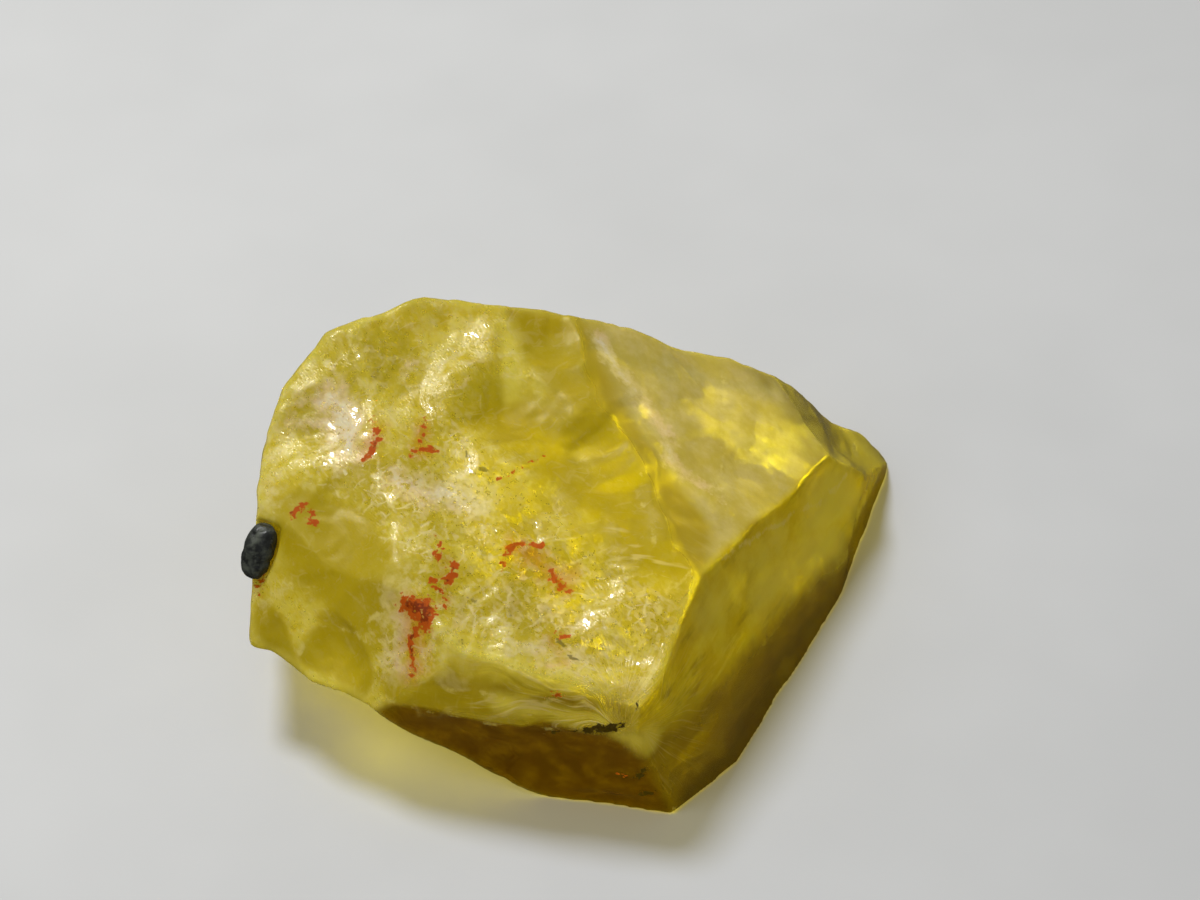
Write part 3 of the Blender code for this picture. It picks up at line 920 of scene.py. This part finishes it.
# Painted shade: the front face is laid dark brown, with lighter patches at random.
front_light = wires.part(wires.ramp(growth, 0.40, 0.75), 0.35)
color = wires.mix(wires.mark("front"), color, wires.mix(front_light, FRONT_PAINTED_SHADE, FRONT_LIGHT))
# Painted shade: the back right face is darkened to grey-green.
color = wires.lay(color, wires.mark("back_face_shade"), 0.8, BACK_FACE_SHADE)
# Painted shade: a dark brown band along the foot.
painted_foot_shade = ragged_mark("painted_foot_shade", coarse, 0.5, 0.25, 0.75)
color = wires.lay(color, painted_foot_shade, 0.8, PAINTED_FOOT_SHADE)
# Painted light: a bright yellow glow laid behind edges and along the bevel.
glow = ragged_mark("glow", coarse, 0.5, 0.2, 0.8)
color = wires.lay(color, glow, 0.85, PAINTED_GLOW_YELLOW)
print("faces coloured")

# %% Veils
veil_room = wires.rest(wires.part(window_mask, 0.4))
placed_veil = wires.part(ragged_mark("veil", medium, 1.7, 0.30, 0.85), veil_room)
loose_veil = wires.ramp(wires.math("ADD", coarse, wires.part(medium, 0.5)), 0.80, 0.98)
loose_veil = wires.part(loose_veil, wires.part(broken_mark, not_window))
veil = wires.most(placed_veil, wires.part(loose_veil, 0.25))
pinkness = wires.ramp(broad, 0.55, 0.42)
color = wires.lay(color, veil, 0.85, wires.mix(pinkness, CREAM, PINK_CREAM))
nodules = wires.part(ragged_mark("veil", medium, 0.9, 0.72, 1.0), wires.ramp(sugar, 0.34, 0.52))
color = wires.lay(color, nodules, 0.9, NODULE)
print("veils laid on")

# %% Sugary grain
# The grains are long splinters: the chips effect with its places pressed along one line.
SPLINTER_LINE = (0.66, -0.66, -0.36)
SPLINTER_SQUEEZE = 0.55
SPLINTERS = {"Size": 0.09, "Tilt": 0.32}

sugary = wires.part(broken_mark, wires.rest(wires.part(window_mask, 0.85)))
sugary = wires.part(sugary, wires.blend(wires.ramp(wires.mark("sugar"), 0.2, 0.7), 0.28, 1.0))
color = wires.lay(color, wires.ramp(sugar, 0.53, 0.68), wires.part(sugary, 0.45), CREAM)
color = wires.lay(color, wires.ramp(sugar, 0.50, 0.36), wires.part(sugary, 0.60), OLIVE)
splinter_place = wires.squeezed(here, SPLINTER_LINE, SPLINTER_SQUEEZE)
grains = wires.node("ShaderNodeGroup", {"Place": splinter_place, **SPLINTERS}, node_tree=chips).outputs
pale_grains = wires.part(wires.ramp(grains["Shine"], 0.65, 1.0), wires.part(sugary, 0.40))
color = wires.mix(pale_grains, color, CREAM)
dark_grains = wires.part(wires.ramp(grains["Shine"], 0.30, 0.0), wires.part(sugary, 0.45))
color = wires.mix(dark_grains, color, OLIVE)
print("sugary grain laid on")

# %% Angular lines
LINE_BEND = 0.8
LINE_WAY = (0.80, 0.45, -0.40)
LINE_SQUEEZE = 0.45
LONG_LINES = {"Scale": 1.1, "Width": 0.045, "Breaks": 0.50}
SHORT_LINES = {"Scale": 2.6, "Width": 0.09, "Breaks": 0.53}

bend = wires.scaled(wires.noise(here, 0.9, 1.0, 0.6, "Color"), LINE_BEND)
pressed = wires.vector("ADD", wires.squeezed(here, LINE_WAY, LINE_SQUEEZE), bend)
long_lines = wires.effect(cracks, {"Place": pressed, "Patches": medium, **LONG_LINES}, "Mask")
short_lines = wires.effect(cracks, {"Place": pressed, "Patches": coarse, **SHORT_LINES}, "Mask")
line_room = wires.part(broken_mark, wires.blend(sugary, 0.10, 1.0))
color = wires.lay(color, wires.most(long_lines, short_lines), line_room, CREAM)
print("angular lines laid on")

# %% The fan of the break
# Along the fan's own coordinates the same noise is long in one direction: away from the
# point of the blow for the rays, and around it for the arcs.
RAY_STRETCH = (1.0, 0.35, 1.0)
ARC_STRETCH = (0.12, 2.4, 1.0)

fan_place = wires.vector("MULTIPLY", wires.mark("fan", "Vector"), RAY_STRETCH)
fan_noise = wires.noise(fan_place, 2.0, 3.0, 0.6)
ray_mark = wires.mark("rays")
dark_rays = wires.part(wires.ramp(fan_noise, 0.46, 0.36), ray_mark)
pale_rays = wires.part(wires.ramp(fan_noise, 0.51, 0.64), ray_mark)
color = wires.lay(color, dark_rays, 0.55, DEEP)
color = wires.lay(color, pale_rays, 0.75, CREAM)
arc_place = wires.vector("MULTIPLY", wires.mark("fan", "Vector"), ARC_STRETCH)
arc_lines = wires.part(wires.ramp(wires.noise(arc_place, 2.0, 2.0, 0.6), 0.56, 0.68), wires.mark("arcs"))
color = wires.lay(color, arc_lines, 0.5, CREAM)
crack = ragged_mark("crack", medium, 1.5, 0.50, 0.85)
color = wires.lay(color, crack, 0.6, wires.mix(0.5, LEMON, CREAM))
# Painted highlight: the ridges between chips are laid paler.
color = wires.lay(color, wires.mark("edge"), 0.35, LEMON)
print("fan and cracks laid on")

# %% Stains
fleck = ragged_mark("fleck", sugar, 1.2, 0.35, 0.60)
color = wires.lay(color, fleck, 0.75, FLECK)
halo = ragged_mark("halo", medium, 0.9, 0.35, 0.95)
color = wires.lay(color, halo, 0.45, RUST_ORANGE)
rust_edge = ragged_mark("rust", sugar, 2.6, 0.34, 0.60)
rust_core = ragged_mark("rust", sugar, -1.6, 0.62, 0.90)
color = wires.mix(rust_edge, color, RUST_ORANGE)
color = wires.lay(color, rust_core, rust_edge, RUST_RED)
grime = ragged_mark("dirt", sugar, 2.0, 0.38, 0.55)
color = wires.mix(grime, color, GRIME)
wires.feed(color, shader.inputs["Base Color"])
print("stains laid on")

# %% [markdown]
# ## Gloss
# A fresh break glitters where a splinter happens to face the light. So a few splinters get
# a thin glossy coat, more of them in the places that are marked for it. Rust and grime are
# dull and never glitter. The same splinters give the bump that breaks up the shine.

# %% Glints
GLINT_RARE = 0.985
GLINT_CLUSTER = 0.22
GLINT_IN_SUGAR = 0.03
GLINT_COAT = 0.6
SUGAR_COAT = 0.05

placed_spark = ragged_mark("spark", medium, 0.9, 0.3, 0.8)
loose_spark = wires.part(wires.ramp(coarse, 0.54, 0.68), 0.35)
spark = wires.most(placed_spark, loose_spark)
more_often = wires.most(wires.part(spark, GLINT_CLUSTER), wires.part(sugary, GLINT_IN_SUGAR))
rare = wires.math("SUBTRACT", GLINT_RARE, more_often)
shiny = wires.ramp(wires.math("SUBTRACT", grains["Shine"], rare), 0.0, 0.01)
shiny = wires.part(shiny, wires.part(broken_mark, not_window))
clean = wires.rest(wires.most(rust_edge, grime))
coat = wires.most(wires.part(shiny, GLINT_COAT), wires.part(sugary, SUGAR_COAT))
wires.feed(wires.part(coat, clean), shader.inputs["Coat Weight"])
print("glints placed")

# %% Bump
RIDGES = 0.06
WAVES = 0.06

calm = wires.rest(wires.part(wires.ramp(wires.mark("window"), *WINDOW_EDGE), 0.75))
height = wires.part(grains["Height"], wires.part(broken_mark, calm))
ridges = wires.part(wires.noise(fan_place, 2.0, 1.0, 0.6), ray_mark)
height = wires.math("ADD", height, wires.part(ridges, RIDGES))
waves = wires.noise(squeezed_place, 1.6, 0.0, 0.5)
height = wires.math("ADD", height, wires.part(waves, wires.part(wires.mark("prism"), WAVES)))
bump = wires.node("ShaderNodeBump", {"Height": height, "Distance": MM, "Strength": 1.0}).outputs["Normal"]
wires.feed(bump, shader.inputs["Normal"])
wires.feed(bump, shader.inputs["Coat Normal"])
print("bump wired")

# %% Roughness
WINDOW_ROUGHNESS = 0.40
STAIN_ROUGHNESS = 0.7

rough_break = wires.blend(sugar, 0.18, 0.44)
rough_break = wires.blend(window_mask, rough_break, WINDOW_ROUGHNESS)
rough_face = wires.blend(coarse, 0.03, 0.16)
roughness = wires.blend(broken_mark, rough_face, rough_break)
wires.feed(wires.blend(clean, STAIN_ROUGHNESS, roughness), shader.inputs["Roughness"])
print("roughness wired")

# %% [markdown]
# ## How clear the stone is
# These are the plain constants of the material. The index of refraction bends the light, the
# transmission share lets it in, and the subsurface share scatters some of the rest within a
# millimetre. Inside, the volume takes out blue, and the more the longer the way is.

# %% Clearness
RHODIZITE_IOR = 1.69
CLEAR_SHARE = 0.65
GLOW_SHARE = 0.3
GLOW_DEPTH = 0.8
GLOW_RADIUS = (1.0, 0.85, 0.15)
MIRROR_LEVEL = 0.1
MIRROR_TINT = (0.22, 0.20, 0.12, 1.0)
COAT_ROUGHNESS = 0.06
ABSORPTION_COLOR = (0.970, 0.964, 0.0, 1.0)
ABSORPTION_DENSITY = 1200.0

shader.inputs["IOR"].default_value = RHODIZITE_IOR
shader.inputs["Specular IOR Level"].default_value = MIRROR_LEVEL
shader.inputs["Specular Tint"].default_value = MIRROR_TINT
shader.inputs["Coat Roughness"].default_value = COAT_ROUGHNESS
shader.inputs["Coat IOR"].default_value = RHODIZITE_IOR
shader.inputs["Transmission Weight"].default_value = CLEAR_SHARE
shader.inputs["Subsurface Weight"].default_value = GLOW_SHARE
shader.inputs["Subsurface Radius"].default_value = GLOW_RADIUS
shader.inputs["Subsurface Scale"].default_value = GLOW_DEPTH * MM
inside = wires.node("ShaderNodeVolumeAbsorption", {})
inside.inputs["Color"].default_value = ABSORPTION_COLOR
inside.inputs["Density"].default_value = ABSORPTION_DENSITY
wires.feed(inside.outputs["Volume"], stone_output["Volume"])
print("clear share", CLEAR_SHARE, "and glow share", GLOW_SHARE)

# %% [markdown]
# ## Lamp light through the stone
# Light that is bent on its way from a lamp is slow and noisy to work out. So for shadow rays
# alone the surface is a tinted pane: a lamp's light goes straight in, colours the inside and
# leaves a yellow patch on the floor. The camera still sees the real, bending surface.

# %% Lamp light
THROUGH_IN = (0.40, 0.35, 0.10)
THROUGH_OUT = (0.72, 0.66, 0.16)

lamp_light = wires.node("ShaderNodeLightPath", {}).outputs["Is Shadow Ray"]
seen_inside = wires.node("ShaderNodeNewGeometry", {}).outputs["Backfacing"]
through = wires.mix(seen_inside, THROUGH_IN, THROUGH_OUT)
pane = wires.node("ShaderNodeBsdfTransparent", {"Color": through}).outputs["BSDF"]
surface_inputs = {0: lamp_light, 1: shader.outputs["BSDF"], 2: pane}
surface = wires.node("ShaderNodeMixShader", surface_inputs).outputs[0]
wires.feed(surface, stone_output["Surface"])
crystal.data.materials.clear()
crystal.data.materials.append(stone)
print("crystal material:", len(stone.node_tree.nodes), "nodes")

# %% [markdown]
# ## The grain's material
# Worn black mineral is never pure black: it has grey-green dusty clouds and spots, small
# flat chips and a dull sheen, duller where there is dust.

# %% Black mineral
BLACK = (0.012, 0.013, 0.011)
GREY_GREEN = (0.060, 0.066, 0.048)

black, wires, shader = new_material("black_mineral")
shader.inputs["Specular IOR Level"].default_value = 0.3
dusty = wires.effect(cloud, {"Scale": 3.5, "Detail": 5.0, "Low": 0.42, "High": 0.70}, "Mask")
spots = wires.effect(flecks, {"Scale": 5.0, "Share": 0.6}, "Mask")
color = wires.mix(dusty, BLACK, GREY_GREEN)
color = wires.lay(color, spots, 0.5, GREY_GREEN)
wires.feed(color, shader.inputs["Base Color"])
wires.feed(wires.blend(dusty, 0.38, 0.72), shader.inputs["Roughness"])
grain_chips = wires.effect(chips, {"Place": wires.place(), "Size": 0.14, "Tilt": 0.35}, "Height")
bump = wires.node("ShaderNodeBump", {"Height": grain_chips, "Distance": MM, "Strength": 0.8})
wires.feed(bump.outputs["Normal"], shader.inputs["Normal"])
grain.data.materials.clear()
grain.data.materials.append(black)
print("black mineral:", len(black.node_tree.nodes), "nodes")

# %% [markdown]
# ## Floor and light
# A plain pale floor and two big soft lamps, one high behind the left shoulder and a weak one
# in front, show the stone without any setting of its own. A floor this pale would lay a grey
# haze on the smooth faces at the front, so it is darkened for rays that the stone mirrors,
# and for no others.

# %% Floor
FLOOR_SIZE = 800.0
FLOOR_DROP = 0.02
FLOOR_PALE = (0.42, 0.42, 0.41)
FLOOR_SHADE = (0.40, 0.40, 0.39)
UNLIT = (0.0, 0.0, 0.0)
GLARE_CUT = 0.9

bpy.ops.object.select_all(action="DESELECT")
bpy.ops.mesh.primitive_plane_add(size=FLOOR_SIZE * MM, location=(0.0, 0.0, -FLOOR_DROP * MM))
floor = bpy.context.object
floor.name = "floor"
bpy.ops.object.transform_apply(location=True, rotation=False, scale=False)
floor_finish, wires, shader = new_material("floor_finish")
mottle = wires.effect(cloud, {"Scale": 0.08, "Detail": 3.0, "Low": 0.3, "High": 0.7}, "Mask")
light_path = wires.node("ShaderNodeLightPath", {}).outputs
mirrored = wires.part(light_path["Is Glossy Ray"], wires.rest(light_path["Is Transmission Ray"]))
pale = wires.mix(mottle, FLOOR_PALE, FLOOR_SHADE)
floor_color = wires.mix(wires.part(mirrored, GLARE_CUT), pale, UNLIT)
wires.feed(floor_color, shader.inputs["Base Color"])
shader.inputs["Specular IOR Level"].default_value = 0.0
shader.inputs["Roughness"].default_value = 0.8
floor.data.materials.append(floor_finish)
print("floor", FLOOR_SIZE, "mm wide")


# %% Lights
LAMP_AIM = Vector((0.0, 0.0, 4.0))
SKY_COLOR = (0.93, 0.95, 1.0, 1.0)
SKY_STRENGTH = 0.30


def soft_lamp(name, place, size, power):
    """A round soft lamp that points at the stone."""
    data = bpy.data.lights.new(name, "AREA")
    data.shape = "DISK"
    data.size = size * MM
    data.energy = power
    lamp = bpy.data.objects.new(name, data)
    bpy.context.scene.collection.objects.link(lamp)
    lamp.location = Vector(place) * MM
    lamp.rotation_euler = (LAMP_AIM - Vector(place)).to_track_quat("-Z", "Y").to_euler()


soft_lamp("key_lamp", (-50.0, 50.0, 150.0), 50.0, 0.30)
soft_lamp("fill_lamp", (-90.0, -60.0, 120.0), 90.0, 0.08)
world = bpy.data.worlds.new("studio")
world.use_nodes = True
sky = world.node_tree.nodes["Background"].inputs
sky["Color"].default_value = SKY_COLOR
sky["Strength"].default_value = SKY_STRENGTH
bpy.context.scene.world = world
bpy.context.scene.view_settings.view_transform = "Standard"
print("two lamps and a pale sky")

# %% [markdown]
# ## Replace the imported solids
# Each skin hides the imported solid that it stands for, and the root body carries it.

# %% Replace the imported solids
for skin, node, slot in ((crystal, "crystal", "rhodizite"), (grain, "black_grain", "black_mineral")):
    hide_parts(node)
    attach(skin, "root")
